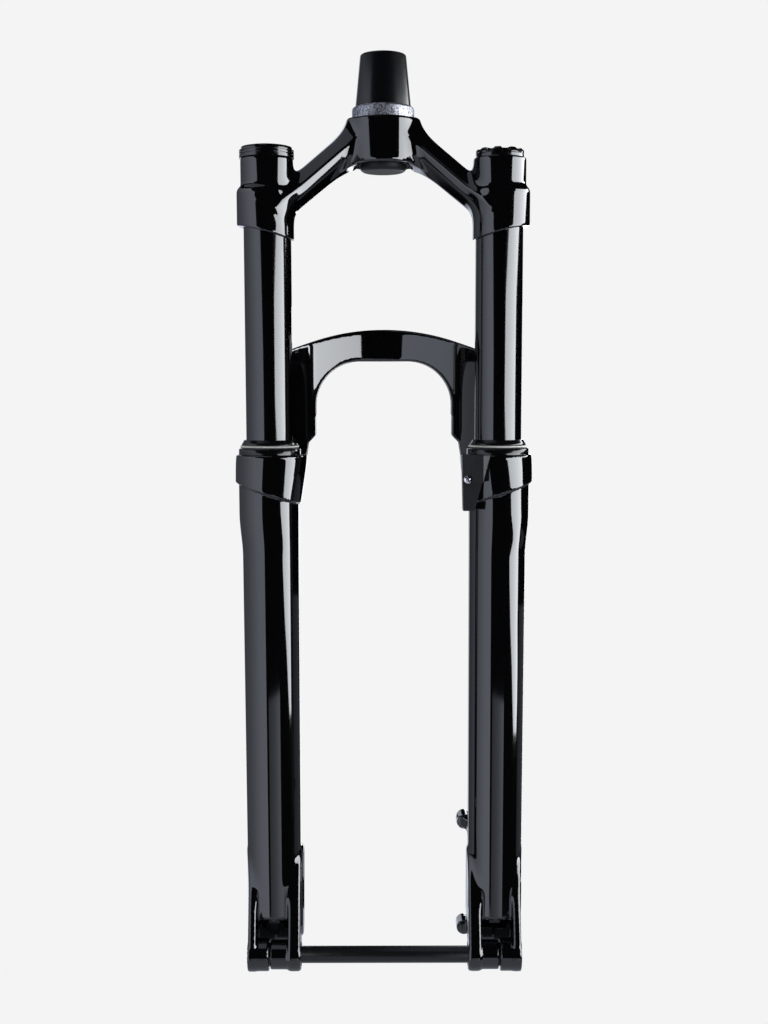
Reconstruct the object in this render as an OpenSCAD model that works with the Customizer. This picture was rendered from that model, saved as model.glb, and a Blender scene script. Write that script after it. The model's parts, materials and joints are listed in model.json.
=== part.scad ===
// Suspension fork with one crown and its arch behind the legs.
// The origin lies on the steerer axis at the crown race seat. +Z runs up the steerer,
// the front of the fork faces -Y, the damper leg is at -X and the air spring leg at +X.

/* [Layout] */
// Distance between the two leg axes
leg_spacing = 146; // [138:1:165]
// Distance from the crown race seat down to the axle
axle_to_crown = 540; // [525:1:600]
// Distance of the axle in front of the steerer axis
axle_offset = 42; // [41:1:51]
// Distance of the leg axes in front of the steerer axis
crown_offset = 25; // [23:1:27]
// Suspension travel
travel = 120; // [100:1:140]
// Width between the two hub faces
hub_width = 110; // [100:1:112]

/* [Steerer] */
// Length of the steerer above the crown race seat
steerer_length = 40; // [34:1:260]
// Diameter of the bare seat for the headset's crown race
steerer_base_d = 39.8; // [37:0.1:42]
// Diameter at the foot of the taper, just above the race seat
steerer_taper_d = 35.6; // [34:0.1:37]
// Diameter of the straight part above the taper
steerer_top_d = 28.6; // [28:0.1:32]
// Height of the top of the taper above the race seat
steerer_taper_z = 43; // [38:1:90]
// Bore of the straight part
steerer_bore_d = 23.6; // [20:0.1:25]
// Bore at the foot, where the plug sits
steerer_foot_bore_d = 30; // [28:0.1:34]
// Height of the race seat
race_h = 7.5; // [4:0.5:10]
// Depth of the plug below the crown
plug_h = 4; // [3:0.5:12]

/* [Crown] */
// Height of the boss around the steerer
boss_h = 28.5; // [26:0.5:38]
// Wall of the boss around the steerer
boss_wall = 2.2; // [1.8:0.1:6]
// Wall of the upper part of the stanchion sockets
socket_wall = 1.5; // [1.2:0.1:4]
// Extra wall of the lower part of the sockets, on their outer side
socket_swell = 2.6; // [1:0.1:4]
// Drop of the socket tops below the race seat
socket_drop = 28; // [26:1:36]
// Height of the slim upper part of the sockets
socket_slim_h = 18; // [12:1:26]
// Drop of the middle of the sloping socket edge below the race seat
skirt_drop = 74; // [72:1:90]
// Slope of the lower socket edge, lower on the inside
skirt_slope = 14; // [5:1:25]
// Bevel along the back of the arms
arm_bevel = 7.5; // [3:0.5:10]
// Height of the arms at the boss
arm_root_h = 29; // [24:1:36]
// Height of the arms at the sockets
arm_tip_h = 29; // [24:1:36]

/* [Stanchions] */
// Outer diameter of the stanchions
stanchion_d = 30; // [28:0.5:34]
// Wall of the stanchions
stanchion_wall = 2; // [1.5:0.1:3]
// Room between the wiper seals and the crown at full travel
crown_room = 5; // [3:1:30]

/* [Lower legs] */
// Wall of the bushings
bushing_wall = 1; // [0.8:0.1:1.5]
// Wall of the leg tubes at the top
leg_wall = 2.2; // [1.6:0.1:4]
// How much slimmer the legs are at the foot
leg_taper = 0.5; // [0:0.1:1]
// Wall of the collars around the upper bushings
collar_wall = 7.4; // [6:0.1:10]
// Shift of the collars towards the middle of the fork
collar_shift = 1.2; // [0:0.1:2]
// Length of the collars on the leg axis
collar_h = 25; // [20:1:36]
// Slope of the lower collar edge, lower on the inside
collar_slope = 18; // [5:1:25]
// Wall of the short sleeve below the collars
sleeve_wall = 4.1; // [3:0.1:5.5]
// Length of the sleeve below the middle of the collar edge
sleeve_h = 18.5; // [16:0.5:40]
// Height of the leg floor above the axle
foot_rise = 23; // [22:1:40]
// Thickness of the leg floor
floor_t = 7.5; // [5:0.5:12]

/* [Arch] */
// Height of the underside of the arch above the collars
arch_rise = 60; // [55:1:90]
// Height of the arch at its middle
arch_h = 21; // [14:1:30]
// Thickness of the arch from front to back
arch_t = 11.5; // [8:0.5:16]
// Gap between the arch and the crown boss as they pass at full travel
arch_pass = 3.5; // [2:0.5:10]
// Half width of the opening under the arch
arch_half = 45; // [42:0.5:48]
// Corner radius of the opening under the arch
arch_corner_r = 29; // [12:1:36]

/* [Dropouts] */
// Diameter of the axle in the dropouts
axle_d = 15; // [12:0.5:15]
// Diameter of the slim middle of the axle
axle_waist_d = 11; // [9:0.5:12]
// Wall of the dropouts around the axle
dropout_wall = 2.6; // [2.4:0.1:5]
// Thickness of the outer dropout cheek
outer_cheek_t = 5.5; // [4:0.5:8]
// Thickness of the inner dropout cheek
inner_cheek_t = 8; // [6:0.5:10]

/* [Brake mount] */
// Distance between the two brake bolts
post_spacing = 74.2; // [70:0.1:76]
// Height of the lower brake bolt above the axle
post_rise = 5; // [3:0.1:16]
// Radius of a brake bolt hole
post_hole_r = 2.5; // [2:0.1:3]
// Depth of a brake bolt hole
post_hole_depth = 12; // [8:1:13]
// Distance of the brake bolts from the middle of the fork
post_x = 54; // [53:0.5:57]
// Bore of the brake hose guide
hose_d = 5.4; // [5:0.1:6]

/* [Clearances] */
// Radial gap of pieces that are pressed or screwed together
fit_gap = 0.02; // [0.01:0.01:0.05]
// Radial gap of pieces that slide or turn in each other
run_gap = 0.05; // [0.02:0.01:0.1]
// Gap between moving pieces that pass each other
move_gap = 0.4; // [0.3:0.1:1]

/* [Hidden] */
$fn = 96;

// Places shared by several pieces
leg_x = leg_spacing / 2;
leg_y = -crown_offset;
axle_z = -axle_to_crown;
axle_dy = crown_offset - axle_offset;
hub_face_x = hub_width / 2;
eps = 0.1;
reach = 400;

// Crown
steerer_base_r = steerer_base_d / 2;
shank_step = 0.5;
steerer_shank_r = steerer_base_r - shank_step;
boss_r = steerer_base_r + boss_wall;
stanchion_r = stanchion_d / 2;
stanchion_bore_r = stanchion_r - stanchion_wall;
socket_r = stanchion_r + socket_wall;
swell_shift = socket_swell / 2;
swell_r = socket_r + swell_shift;
socket_top = -socket_drop;
swell_top = socket_top - socket_slim_h;
skirt_mid = -skirt_drop;
skirt_low = skirt_mid - socket_r * tan(skirt_slope);
edge_chamfer = 1.6;
stanchion_lip = 2;
stanchion_top = socket_top - stanchion_lip;
arm_sink = 2.8;
arm_root_x = boss_r - arm_sink;
arm_root_front = 0.62 * boss_r;
arm_root_back = boss_r - edge_chamfer - arm_bevel / 2;
arm_tip_x = leg_x - stanchion_r / 2;
arm_tip_top = swell_top + stanchion_lip;
arm_tip_front = swell_r - socket_swell;
arm_tip_back = swell_r - arm_bevel;
// Edges of an arm's front facets: share of its height from the top, and distance behind the ridge
arm_brow = [0.11, 4];
arm_ridge = [0.49, 0];
arm_chin = [0.72, 2.7];
arm_throat = [1, 12];

// Lower legs
leg_bore_r = stanchion_r + bushing_wall;
leg_r = leg_bore_r + leg_wall;
leg_foot_r = leg_r - leg_taper;
collar_r = leg_bore_r + collar_wall;
sleeve_r = leg_bore_r + sleeve_wall;
seal_lip_h = 9.2;
seal_top = skirt_low - travel - crown_room;
collar_top = seal_top - seal_lip_h;
collar_mid = collar_top - collar_h;
collar_lean = 9;
sleeve_low = collar_mid - sleeve_h;
sleeve_blend = 9;
leg_bottom = axle_z + foot_rise;
floor_top = leg_bottom + floor_t;

// Seals and bushings
seat_wall = 4.2;
seal_seat_r = collar_r - seat_wall;
seal_body_h = 8.4;
foam_h = 6;
seat_gap = 0.3;
seat_low = collar_top - seal_body_h - foam_h - 2 * seat_gap;
bushing_h = 22;
bottom_room = 28;
stanchion_low = floor_top + travel + bottom_room;
garter_r = 0.75;
seal_lip_w = 3;
garter_ring_r = stanchion_r + seal_lip_w;
garter_drop = 4.2;
garter_z = seal_top - garter_drop;

// Arch: two arcs in plan, swung from a point ahead of the steerer
arch_bow = 0.48;
arch_front_y = boss_r + arch_pass;
arch_front_r = leg_spacing * arch_bow;
arch_back_r = arch_front_r + arch_t;
arch_center_y = arch_front_y - arch_front_r;
arch_under = collar_top + arch_rise;
arch_top = arch_under + arch_h;
arch_top_r = 138;
arch_leg_rise = 11;
arch_leg_low = collar_top + arch_leg_rise;
arch_inset = 5;
arch_end_x = leg_x - arch_inset;
arch_room = 1.5;
arch_pass_r = socket_r + socket_swell + arch_room;

// Dropouts, in a leg's own frame with +X outwards
cheek_inset = 1.4;
cheek_out = leg_foot_r - cheek_inset;
cheek_in = leg_x - hub_face_x;
cheek_in_root = inner_cheek_t - leg_foot_r;
boss_step = 1.3;
boss_out_r = axle_d / 2 + dropout_wall;
boss_in_r = boss_out_r - boss_step;
cheek_lip = 0.6;
boss_split = 2.2;
split_t = 1;
cheek_top = 56;
cheek_top_r = 10.5;
axle_bore_r = axle_d / 2 + run_gap;
axle_lip = 1.2;
axle_head_r = axle_d / 2 + axle_lip;
axle_head_t = 3.6;
insert_wall = 1.3;
insert_r = axle_d / 2 + insert_wall;

// Brake posts, in the air leg's own frame
post_r = 4.9;
post_h = 14;
post_face_y = 30;
post_low = axle_z + post_rise;

// Top caps
cap_seat = socket_top;
cap_thread_h = 12;
cap_brim = 0.6;
damper_cap_r = socket_r + cap_brim;
damper_cap_h = 4.8;
knob_h = 2;
knob_stem_r = 4;
knob_stem_end = 2;
knob_stem_low = stanchion_top - cap_thread_h - knob_stem_end;
air_cap_r = stanchion_r;
air_cap_h = 1.8;
valve_cap_h = 3;
valve_cap_roof = 1.2;
valve_r = 3.9;

// Rods and what they carry
damper_rod_r = 5;
air_rod_r = 6;
guide_h = 20;
ring_wire_r = 0.8;
ring_gap = 0.3;
ring_z = stanchion_low + 2 * ring_wire_r;
guide_low = ring_z + ring_wire_r + ring_gap;
guide_top = guide_low + guide_h;
bumper_h = 10;
bumper_r = 10.5;
piston_h = 14;
bolt_hole_r = 4.2;
thread_r = 3.5;
thread_h = 14;
washer_t = 1;
washer_r = 6.2;
nut_af = 12;
nut_h = 5;
knob_low_r = 6;
knob_low_h = 7;
adjuster_r = 2;
adjuster_h = 42;

// Hose guide
guide_bore_r = hose_d / 2;
guide_skin = 1.5;
guide_wall = 1.8;
guide_axis_r = collar_r + guide_wall + guide_bore_r;
guide_bore_h = 17;
guide_turn = 60;
guide_x = leg_x - guide_axis_r * cos(guide_turn);
guide_y = leg_y - guide_axis_r * sin(guide_turn);
guide_drop = 35;
guide_edge = 0.3;
guide_half = 7.4;
guide_bevel = 3;
tail_inset = 2;
tail_edge = 0.8;
guide_screw_dx = 20.4;
guide_screw_x = leg_x - guide_screw_dx;
guide_screw_drop = 15;
guide_screw_z = collar_top - guide_screw_drop;
guide_screw_r = 2.5;
guide_screw_head = 2;
guide_screw_h = 16;
guide_screw_y = guide_y;
guide_face_y = guide_y - guide_bore_r - guide_skin;

// Draws at both leg axes, with +X outwards on each
module on_legs() {
  on_air_leg() children();
  on_damper_leg() children();
}

module on_air_leg() {
  translate([leg_x, leg_y, 0]) children();
}

module on_damper_leg() {
  mirror([1, 0, 0]) translate([leg_x, leg_y, 0]) children();
}

// Space above a plane that passes x = 0 at height z and rises outwards
module above_slope(z, slope) {
  translate([0, 0, z]) rotate([0, -slope, 0]) translate([-reach / 2, -reach / 2, 0]) cube(reach);
}

// Flat ring or sleeve between two heights
module sleeve(r_in, r_out, z_low, z_high) {
  difference() {
    translate([0, 0, z_low]) cylinder(r = r_out, h = z_high - z_low);
    translate([0, 0, z_low - eps]) cylinder(r = r_in, h = z_high - z_low + 2 * eps);
  }
}

// Straight bar along X with a round section
module bar_x(r, x_low, x_high) {
  translate([x_low, 0, 0]) rotate([0, 90, 0]) cylinder(r = r, h = x_high - x_low);
}

// Outline around two circles and their common tangents
module link_2d(p, r_p, q, r_q) {
  d = q - p;
  side = acos((r_p - r_q) / norm(d));
  way = atan2(d.y, d.x);
  ends = [[p, r_p, side], [q, r_q, side], [q, r_q, -side], [p, r_p, -side]];
  polygon([for (e = ends) e[0] + e[1] * [cos(way + e[2]), sin(way + e[2])]]);
  translate(p) circle(r_p);
  translate(q) circle(r_q);
}

// Extrudes an outline drawn in Y and Z along X
module side_plate(x_low, x_high) {
  translate([x_low, 0, 0]) rotate([90, 0, 90]) linear_extrude(x_high - x_low) children();
}

// Extrudes an outline drawn in X and Z along Y
module front_plate(y_low, y_high) {
  translate([0, y_high, 0]) rotate([90, 0, 0]) linear_extrude(y_high - y_low) children();
}

// Steerer and crown

function taper_r(z) = z >= steerer_taper_z ? steerer_top_d / 2
  : steerer_taper_d / 2 - (steerer_taper_d - steerer_top_d) / 2 * (z - race_h) / (steerer_taper_z - race_h);

module steerer_tube() {
  bore_r = steerer_bore_d / 2;
  foot_r = steerer_foot_bore_d / 2;
  bore_h = 20;
  bore_z = steerer_length - bore_h;
  lip = 0.8;
  round_r = 1.6;
  color("#26272b") rotate_extrude() polygon(concat(
    [[foot_r, -boss_h], [steerer_shank_r, -boss_h], [steerer_shank_r, 0], [steerer_base_r, 0]],
    [for (t = [0 : 15 : 90]) [steerer_base_r - round_r * (1 - cos(t)), race_h - round_r * (1 - sin(t))]],
    [[taper_r(race_h), race_h]],
    steerer_length > steerer_taper_z ? [[steerer_top_d / 2, steerer_taper_z]] : [],
    [[taper_r(steerer_length - lip), steerer_length - lip], [taper_r(steerer_length) - lip, steerer_length]],
    [[bore_r, steerer_length], [bore_r, bore_z], [foot_r, -boss_h / 3]]
  ));
}

// Section of an arm in Y and Z: facets that meet in a ridge at the front, bevels at the back
module arm_section(x, y_front, y_back, z_top, h) {
  b = arm_bevel;
  front = [for (e = [arm_throat, arm_chin, arm_ridge, arm_brow]) [y_front + e[1], z_top - e[0] * h]];
  back = [
    [y_front + arm_brow[1] + b, z_top], [y_back - b, z_top], [y_back, z_top - b],
    [y_back, z_top - h + b], [y_back - b, z_top - h]
  ];
  translate([x, 0, 0]) rotate([90, 0, 90]) linear_extrude(eps) polygon(concat(front, back));
}

module crown_arm() {
  hull() {
    arm_section(arm_root_x, -arm_root_front, arm_root_back, -edge_chamfer, arm_root_h - edge_chamfer);
    arm_section(arm_tip_x, leg_y - arm_tip_front, leg_y + arm_tip_back, arm_tip_top, arm_tip_h);
  }
}

// Outside of a stanchion socket, slim above and swollen below, cut off along a slope
module socket_shell() {
  low = skirt_low - swell_r;
  intersection() {
    union() {
      rotate_extrude() polygon([
        [0, socket_top], [socket_r - edge_chamfer / 2, socket_top], [socket_r, socket_top - edge_chamfer],
        [socket_r, low], [0, low]
      ]);
      translate([swell_shift, 0, 0]) rotate_extrude() polygon([
        [0, swell_top], [socket_r, swell_top], [swell_r, swell_top - socket_swell], [swell_r, low], [0, low]
      ]);
    }
    above_slope(skirt_mid, skirt_slope);
  }
}

module crown() {
  color("#0b0b0d") difference() {
    union() {
      rotate_extrude() polygon([
        [0, 0], [boss_r - edge_chamfer, 0], [boss_r, -edge_chamfer],
        [boss_r, edge_chamfer - boss_h], [boss_r - edge_chamfer, -boss_h], [0, -boss_h]
      ]);
      crown_arm();
      mirror([1, 0, 0]) crown_arm();
      on_legs() socket_shell();
    }
    translate([0, 0, -boss_h - arm_tip_h])
      cylinder(r = steerer_shank_r + fit_gap, h = boss_h + arm_tip_h + eps);
    on_legs() translate([0, 0, skirt_low - swell_r]) cylinder(r = stanchion_r, h = reach);
  }
}

module steerer_plug() {
  r = steerer_foot_bore_d / 2;
  round_r = 3;
  color("#101113") translate([0, 0, -boss_h]) rotate_extrude() {
    square([r - fit_gap, boss_h / 3]);
    translate([0, -plug_h]) square([r - round_r, plug_h]);
    translate([0, round_r - plug_h]) square([r, plug_h - round_r]);
    translate([r - round_r, round_r - plug_h]) circle(round_r);
  }
}

// Stanchions and top caps

module stanchion() {
  sleeve(stanchion_bore_r, stanchion_r - fit_gap, stanchion_low, stanchion_top);
}

module damper_stanchion() {
  color("#0a0a0c") on_damper_leg() stanchion();
}

module air_stanchion() {
  color("#0a0a0c") on_air_leg() stanchion();
}

// Screwed plug in the top of a stanchion, under a flange of radius r and height h
module cap_plug(r, h) {
  translate([0, 0, cap_seat]) cylinder(r = r, h = h);
  translate([0, 0, stanchion_top]) cylinder(r = stanchion_r - fit_gap, h = stanchion_lip);
  translate([0, 0, stanchion_top - cap_thread_h]) cylinder(r = stanchion_bore_r - fit_gap, h = cap_thread_h);
}

module damper_top_cap() {
  groove = 0.8;
  color("#0c0c0f") on_damper_leg() difference() {
    cap_plug(damper_cap_r, damper_cap_h);
    for (z = [1.6, 3.4])
      translate([0, 0, cap_seat + z]) sleeve(damper_cap_r - groove, damper_cap_r + eps, 0, groove);
    translate([0, 0, stanchion_top - cap_thread_h - eps]) cylinder(r = knob_stem_r + run_gap, h = reach);
  }
}

// Flat dome that is turned by hand, on a stem that goes through the cap
module compression_knob() {
  seat = cap_seat + damper_cap_h + move_gap;
  rim = 1.2;
  rim_r = damper_cap_r - rim;
  dome_r = (pow(damper_cap_r, 2) + pow(knob_h, 2)) / (2 * knob_h);
  notch_w = 3;
  color("#0c0c0f") on_damper_leg() difference() {
    union() {
      translate([0, 0, seat]) cylinder(r = rim_r, h = rim);
      intersection() {
        translate([0, 0, seat + rim + knob_h - dome_r]) sphere(dome_r, $fn = 200);
        translate([0, 0, seat + rim / 2]) cylinder(r = rim_r, h = knob_h + rim);
      }
      translate([0, 0, knob_stem_low]) cylinder(r = knob_stem_r, h = seat + rim - knob_stem_low);
    }
    translate([notch_w, -damper_cap_r, seat - eps]) cube([notch_w, notch_w, knob_h + 2 * rim]);
  }
}

// Seat under the cap, a stem and the piston that the oil is pushed through
module compression_valve() {
  seat_t = 6;
  seat_top = stanchion_top - cap_thread_h;
  stem_h = 42;
  color("#b9bcc2") on_damper_leg() difference() {
    union() {
      translate([0, 0, seat_top - seat_t]) cylinder(r = stanchion_bore_r - fit_gap, h = seat_t);
      translate([0, 0, seat_top - seat_t - stem_h]) cylinder(r = knob_stem_r, h = stem_h + eps);
      translate([0, 0, seat_top - seat_t - stem_h - piston_h])
        cylinder(r = stanchion_bore_r - run_gap, h = piston_h + eps);
    }
    translate([0, 0, knob_stem_low - move_gap]) cylinder(r = knob_stem_r + run_gap, h = seat_t);
  }
}

module air_top_cap() {
  color("#0d0d10") on_air_leg() difference() {
    cap_plug(air_cap_r, air_cap_h);
    translate([0, 0, stanchion_top - cap_thread_h - eps])
      cylinder(r = valve_r + fit_gap, h = cap_thread_h + stanchion_lip + air_cap_h + 2 * eps);
  }
}

// Valve body through the cap, with a flange below it and its core inside
module air_valve() {
  core_r = 1.2;
  wall = 1.2;
  flange_t = 2.5;
  low = stanchion_top - cap_thread_h;
  top = cap_seat + air_cap_h + valve_cap_h - valve_cap_roof;
  color("#c3a35a") on_air_leg() {
    difference() {
      translate([0, 0, low - flange_t]) cylinder(r = valve_r, h = top - low + flange_t);
      translate([0, 0, cap_seat]) cylinder(r = valve_r - wall, h = top - cap_seat + eps);
    }
    translate([0, 0, cap_seat - eps]) cylinder(r = core_r, h = top - cap_seat - core_r);
    translate([0, 0, low - flange_t]) cylinder(r = stanchion_bore_r - fit_gap, h = flange_t);
  }
}

// Low cap with a ring of scallops cut into its rim
module valve_cap() {
  seat = cap_seat + air_cap_h + move_gap;
  scallops = 9;
  scallop_r = 3;
  scallop_tilt = 60;
  bevel = 1;
  pocket = valve_cap_h - valve_cap_roof;
  color("#0d0d10") on_air_leg() difference() {
    translate([0, 0, seat]) rotate_extrude() polygon([
      [0, 0], [air_cap_r, 0], [air_cap_r, valve_cap_h - bevel], [air_cap_r - bevel, valve_cap_h],
      [0, valve_cap_h]
    ]);
    for (i = [0 : scallops - 1])
      rotate([0, 0, i * 360 / scallops]) translate([air_cap_r, 0, seat + valve_cap_h + bevel])
        rotate([0, scallop_tilt, 0]) cylinder(r = scallop_r, h = 4 * scallop_r, center = true);
    translate([0, 0, seat - eps]) cylinder(r = valve_r + run_gap, h = pocket + eps);
  }
}

// Seal heads at the foot of the stanchions

module seal_head(rod_r) {
  sleeve(rod_r + run_gap, stanchion_bore_r - fit_gap, guide_low, guide_top);
}

module damper_rod_guide() {
  color("#9da0a6") on_damper_leg() seal_head(damper_rod_r);
}

module air_seal_head() {
  color("#9da0a6") on_air_leg() seal_head(air_rod_r);
}

module retaining_rings() {
  open_deg = 30;
  color("#7d7f84") on_legs() translate([0, 0, ring_z])
    rotate([0, 0, open_deg / 2]) rotate_extrude(angle = 360 - open_deg)
      translate([stanchion_bore_r - ring_wire_r - fit_gap, 0]) circle(ring_wire_r);
}

// Lower casting

// Collar, sleeve and tube of one leg, before boring
module leg_shell() {
  low = collar_mid - collar_r;
  intersection() {
    translate([-collar_shift, 0, 0]) rotate_extrude() polygon([
      [0, collar_top], [collar_r - edge_chamfer, collar_top], [collar_r, collar_top - edge_chamfer],
      [collar_r, low], [0, low]
    ]);
    above_slope(collar_mid, collar_slope);
    translate([-collar_r - collar_shift, 0, collar_top - edge_chamfer]) rotate([0, -collar_lean, 0])
      translate([0, -reach / 2, -reach]) cube([reach, reach, 2 * reach]);
  }
  rotate_extrude() polygon([
    [0, collar_top - edge_chamfer], [sleeve_r, collar_top - edge_chamfer], [sleeve_r, sleeve_low],
    [leg_r, sleeve_low - sleeve_blend], [leg_foot_r, leg_bottom], [0, leg_bottom]
  ]);
}

module arch_outline() {
  inner_x = arch_half - arch_corner_r;
  step = 5;
  flare = 11;
  foot_drop = 8;
  foot_low = collar_mid - foot_drop;
  difference() {
    intersection() {
      translate([-arch_end_x, foot_low]) square([2 * arch_end_x, arch_top - foot_low]);
      translate([0, arch_top - arch_top_r]) circle(arch_top_r, $fn = 200);
    }
    translate([-arch_half, foot_low - eps])
      square([2 * arch_half, arch_under - arch_corner_r - foot_low + eps]);
    translate([-inner_x, foot_low]) square([2 * inner_x, arch_under - foot_low]);
    for (s = [-1, 1])
      translate([s * inner_x, arch_under - arch_corner_r]) circle(arch_corner_r);
    for (s = [-1, 1]) scale([s, 1])
      polygon([
        [0, arch_leg_low], [arch_half, arch_leg_low], [arch_half + step, arch_leg_low - step],
        [arch_half + flare, foot_low - eps], [0, foot_low - eps]
      ]);
  }
}

// The arch bows back in plan, so that it passes behind the crown
module arch() {
  difference() {
    intersection() {
      front_plate(leg_y, arch_front_y + 2 * arch_t) arch_outline();
      translate([0, arch_center_y, 0]) sleeve(arch_front_r, arch_back_r, -reach, 0);
    }
    on_legs() translate([0, 0, collar_top]) cylinder(r = arch_pass_r, h = reach);
  }
}

module cheek(x_low, x_high, r_low) {
  side_plate(x_low, x_high) link_2d([0, axle_z + cheek_top], cheek_top_r, [axle_dy, axle_z], r_low);
}

// Two cheeks and a split barrel that hold the axle in front of the leg's foot
module dropout() {
  cheek(cheek_out - outer_cheek_t, cheek_out, boss_out_r);
  cheek(-cheek_in, cheek_in_root, boss_out_r + cheek_lip);
  translate([0, axle_dy, axle_z]) {
    bar_x(boss_out_r, boss_split + split_t / 2, cheek_out);
    bar_x(boss_in_r, -cheek_in, boss_split - split_t / 2);
  }
}

// Stiffening pad on the inner side of the damper leg's foot
module foot_pad() {
  pad_r = 9;
  proud = 1.2;
  upper = [4, leg_bottom + 4 * pad_r];
  lower = [-2, leg_bottom - 2 / 3 * pad_r];
  side_plate(-cheek_in - proud, cheek_in_root) link_2d(upper, pad_r, lower, pad_r);
}

// Round posts that the brake bolts to behind the air leg, with an arm to each from the leg
module brake_posts() {
  px = post_x - leg_x;
  arm_end = [px, post_face_y - post_h / 2];
  arm_h = 1.4 * post_r;
  arm_root_r = 14;
  rib_inset = 1;
  rib_r = 2 * post_r;
  rib_rise = 2;
  for (z = [post_low, post_low + post_spacing])
    translate([px, post_face_y, z]) rotate([90, 0, 0]) cylinder(r = post_r, h = post_h);
  translate([0, 0, post_low + post_spacing - arm_h / 2]) linear_extrude(arm_h)
    link_2d([0, 0], arm_root_r, arm_end, post_r);
  side_plate(-cheek_in + rib_inset, cheek_in_root)
    link_2d([0, post_low + rib_r + rib_rise], rib_r, [arm_end.y, post_low], post_r);
}

module brake_holes() {
  px = post_x - leg_x;
  for (z = [post_low, post_low + post_spacing])
    translate([px, post_face_y + eps, z]) rotate([90, 0, 0])
      cylinder(r = post_hole_r, h = post_hole_depth + eps);
}

module leg_bores() {
  translate([0, 0, seat_low]) cylinder(r = seal_seat_r, h = reach);
  translate([0, 0, floor_top]) cylinder(r = leg_bore_r, h = seat_low - floor_top + eps);
  translate([0, 0, leg_bottom - eps]) cylinder(r = bolt_hole_r, h = floor_t + 2 * eps);
  translate([0, axle_dy, axle_z]) bar_x(axle_bore_r, -cheek_in - eps, cheek_out + eps);
}

module lower_casting() {
  color("#0b0b0d") difference() {
    union() {
      on_legs() {
        leg_shell();
        dropout();
      }
      arch();
      on_damper_leg() foot_pad();
      on_air_leg() brake_posts();
    }
    on_legs() leg_bores();
    on_air_leg() brake_holes();
    guide_screw_hole();
    on_damper_leg() translate([0, axle_dy, axle_z])
      bar_x(axle_head_r + run_gap, cheek_out - axle_head_t, cheek_out + eps);
    on_air_leg() translate([0, axle_dy, axle_z])
      bar_x(insert_r, boss_split + split_t, cheek_out + eps);
  }
}

// Seals and bushings of the legs

module wiper_seals() {
  lip_t = 1.3;
  flange_drop = 5;
  flange_z = seal_top - flange_drop;
  flange_lip = 0.6;
  flange_r = seal_seat_r + flange_lip;
  land = 1.2;
  bevel = 1;
  shell_gap = 2;
  shell_r = stanchion_r + shell_gap;
  color("#0e0e10") on_legs() difference() {
    rotate_extrude() polygon([
      [stanchion_r + run_gap, seal_top], [stanchion_r + lip_t, seal_top], [garter_ring_r, garter_z + land],
      [garter_ring_r, garter_z - land], [flange_r - bevel, flange_z], [flange_r, flange_z - bevel],
      [flange_r, collar_top], [seal_seat_r - fit_gap, collar_top],
      [seal_seat_r - fit_gap, collar_top - seal_body_h], [shell_r, collar_top - seal_body_h],
      [shell_r, flange_z], [stanchion_r + run_gap, flange_z]
    ]);
    translate([0, 0, garter_z]) rotate_extrude() translate([garter_ring_r, 0]) circle(garter_r);
  }
}

module seal_springs() {
  color("#d5d7dc") on_legs() translate([0, 0, garter_z])
    rotate_extrude() translate([garter_ring_r, 0]) circle(garter_r - fit_gap);
}

module foam_rings() {
  top = collar_top - seal_body_h - seat_gap;
  color("#4a4a4c") on_legs() sleeve(stanchion_r + move_gap, seal_seat_r - seat_gap, top - foam_h, top);
}

module bushing(z_high) {
  sleeve(stanchion_r + run_gap, leg_bore_r - fit_gap, z_high - bushing_h, z_high);
}

module upper_bushings() {
  color("#6b5a3a") on_legs() bushing(seat_low - bushing_wall);
}

module lower_bushings() {
  color("#6b5a3a") on_legs() bushing(stanchion_low + 2 * bushing_h);
}

// Damper side

module damper_rod() {
  rod_top = guide_top + 2 * bumper_h;
  color("#c9ccd2") on_damper_leg() difference() {
    translate([0, 0, floor_top]) cylinder(r = damper_rod_r, h = rod_top - floor_top);
    translate([0, 0, floor_top - eps]) cylinder(r = adjuster_r + run_gap, h = adjuster_h);
    translate([0, 0, floor_top - eps]) cylinder(r = thread_r, h = thread_h + washer_t);
  }
}

module rebound_piston() {
  low = guide_top + bumper_h;
  color("#b9bcc2") on_damper_leg()
    sleeve(damper_rod_r + fit_gap, stanchion_bore_r - run_gap, low, low + bumper_h);
}

// Hollow bolt that holds the rod to the floor of the leg
module damper_foot_bolt() {
  color("#2b2c30") on_damper_leg() difference() {
    union() {
      translate([0, 0, leg_bottom - washer_t - nut_h]) cylinder(d = nut_af / cos(30), h = nut_h, $fn = 6);
      translate([0, 0, leg_bottom - washer_t - eps]) cylinder(r = thread_r - fit_gap, h = floor_t + thread_h);
    }
    translate([0, 0, leg_bottom - washer_t - nut_h - eps]) cylinder(r = adjuster_r + run_gap, h = reach);
  }
}

module rebound_knob() {
  top = leg_bottom - washer_t - nut_h - move_gap;
  flutes = 8;
  flute_r = 1.1;
  flute_out = 0.4;
  color("#16171a") on_damper_leg() {
    difference() {
      translate([0, 0, top - knob_low_h]) cylinder(r = knob_low_r, h = knob_low_h);
      for (i = [0 : flutes - 1])
        rotate([0, 0, i * 360 / flutes]) translate([knob_low_r + flute_out, 0, top - knob_low_h - eps])
          cylinder(r = flute_r, h = knob_low_h + 2 * eps);
    }
    translate([0, 0, top - eps]) cylinder(r = adjuster_r, h = adjuster_h);
  }
}

// Air spring side

module air_rod() {
  rod_top = guide_top + bumper_h + piston_h;
  color("#c9ccd2") on_air_leg() {
    translate([0, 0, floor_top]) cylinder(r = air_rod_r, h = rod_top - floor_top);
    translate([0, 0, leg_bottom - 2 * washer_t - nut_h])
      cylinder(r = thread_r, h = floor_t + nut_h + 2 * washer_t + eps);
  }
}

module air_piston() {
  low = guide_top + bumper_h + 2 * seat_gap;
  color("#3a3b40") on_air_leg()
    sleeve(air_rod_r + fit_gap, stanchion_bore_r - run_gap, low, low + bumper_h);
}

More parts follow.
